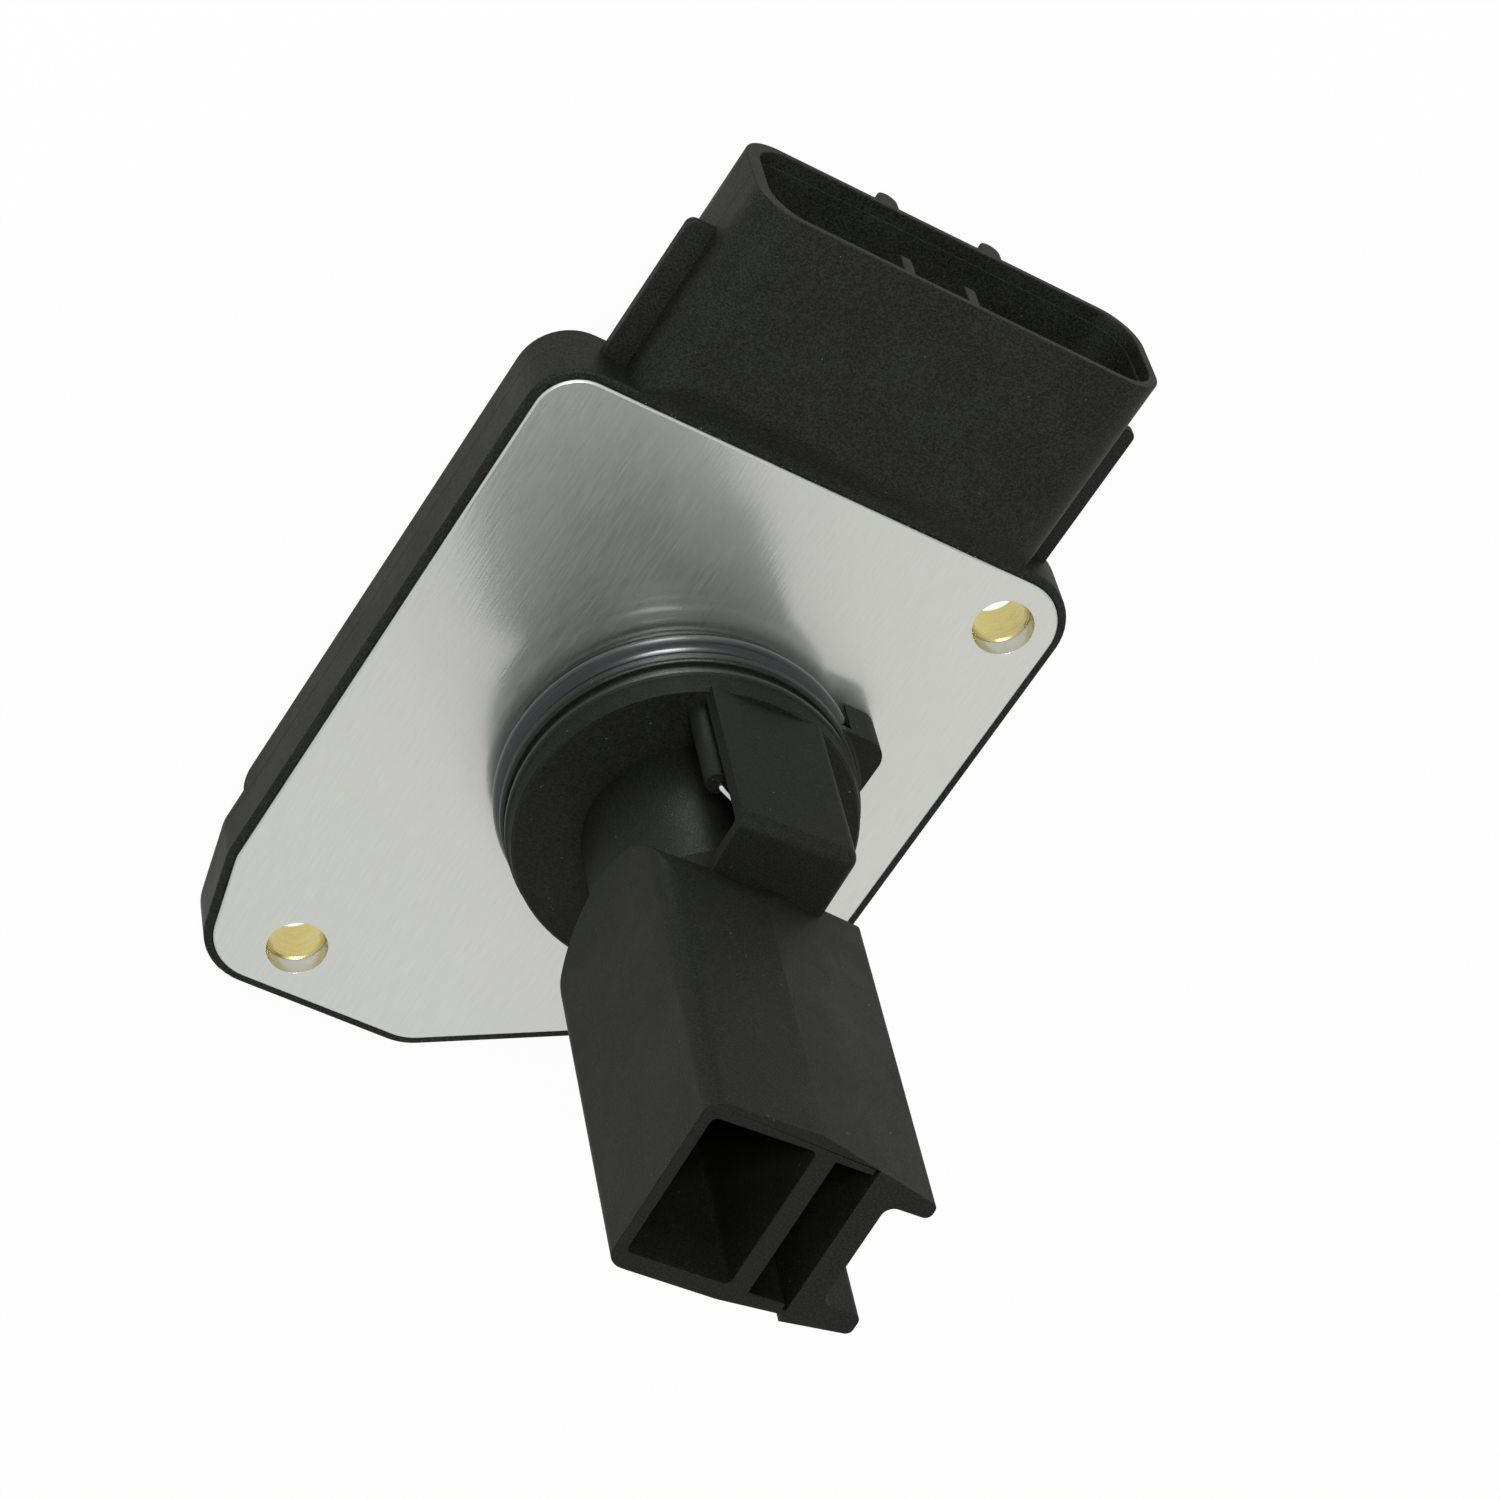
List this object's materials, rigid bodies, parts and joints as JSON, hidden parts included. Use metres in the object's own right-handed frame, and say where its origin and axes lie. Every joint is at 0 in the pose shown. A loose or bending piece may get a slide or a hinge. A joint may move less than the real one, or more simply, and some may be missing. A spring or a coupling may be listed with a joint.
{
  "type": "mass airflow sensor",
  "caption": "Plug-in air flow sensor: cut-corner metal flange in a black moulded housing, oval connector socket, sealed round neck and two-cell bypass probe with a hooded air temperature bead.",
  "frame": {"origin": "the neck's axis in the mounting face, which is the outer face of the metal plate", "axes": "+Z the way the probe points into the duct, +Y the way the connector opens, +X across both"},
  "size_m": [0.0494, 0.0806, 0.0686],
  "materials": {
    "plate_metal": "satin, brushed along Y",
    "housing_plastic": "fine moulded texture",
    "lid_plastic": "fine moulded texture",
    "probe_plastic": "smooth moulding",
    "cover_plastic": "smooth moulding",
    "brass": "turned",
    "seal_rubber": "oiled",
    "board_laminate": "solder mask",
    "chip_resin": "moulded",
    "film_ceramic": "glazed",
    "bead_resin": "dipped",
    "capacitor_ceramic": "fired",
    "pin_metal": "tinned",
    "terminal_metal": "tinned",
    "wire_metal": "drawn"
  },
  "bodies": {
    "root": {"air_film_element": "film_ceramic", "asic_chip": "chip_resin", "base_plate": "plate_metal", "bond_wire_1": "wire_metal", "bond_wire_2": "wire_metal", "bond_wire_3": "wire_metal", "bond_wire_4": "wire_metal", "bond_wire_5": "wire_metal", "bushing_left": "brass", "bushing_right": "brass", "bypass_body": "probe_plastic", "bypass_cover": "cover_plastic", "capacitor_1": "capacitor_ceramic", "capacitor_2": "capacitor_ceramic", "capacitor_3": "capacitor_ceramic", "capacitor_4": "capacitor_ceramic", "circuit_board": "board_laminate", "hot_film_element": "film_ceramic", "housing": "housing_plastic", "lid": "lid_plastic", "o_ring": "seal_rubber", "resistor_1": "chip_resin", "resistor_2": "chip_resin", "resistor_3": "chip_resin", "resistor_4": "chip_resin", "resistor_5": "chip_resin", "sense_pin_1": "pin_metal", "sense_pin_2": "pin_metal", "sense_pin_3": "pin_metal", "sense_pin_4": "pin_metal", "terminal_1": "terminal_metal", "terminal_2": "terminal_metal", "terminal_3": "terminal_metal", "terminal_4": "terminal_metal", "terminal_5": "terminal_metal", "thermistor_bead": "bead_resin", "thermistor_lead_1": "pin_metal", "thermistor_lead_2": "pin_metal"}
  },
  "joints": []
}
